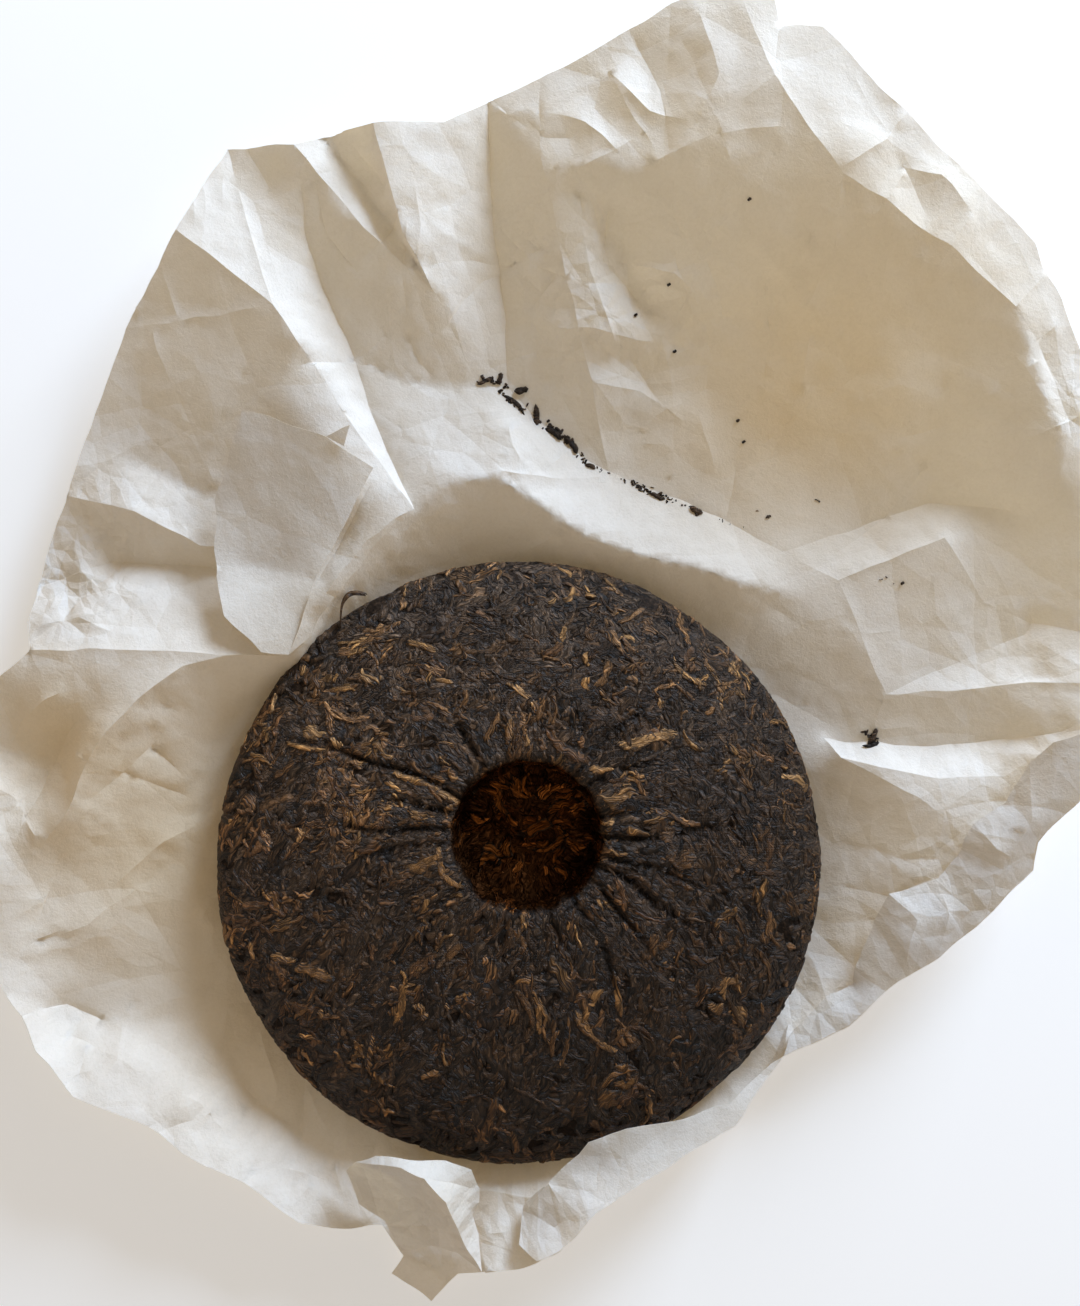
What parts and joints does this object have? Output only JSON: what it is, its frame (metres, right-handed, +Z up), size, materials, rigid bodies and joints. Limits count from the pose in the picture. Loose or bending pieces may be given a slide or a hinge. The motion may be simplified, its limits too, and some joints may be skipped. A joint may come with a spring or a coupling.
{
  "type": "pu erh tea cake",
  "caption": "Round pressed cake of dark tea leaves with a dimple in its back, lying on its opened, creased paper wrapper.",
  "frame": {"origin": "the cake's axis on the plane that the wrapper's flat bed rests on", "axes": "+Z up out of the cake's back, +Y towards the wrapper's high back panel, +X to the right of it"},
  "size_m": [0.3691, 0.4313, 0.0428],
  "materials": {
    "pressed_tea": "dry, dull leaf with a faint sheen",
    "wrapper_paper": "thin, matt, slightly translucent cotton paper"
  },
  "bodies": {
    "root": {"tea_cake": "pressed_tea", "paper_wrapper": "wrapper_paper"}
  },
  "joints": []
}
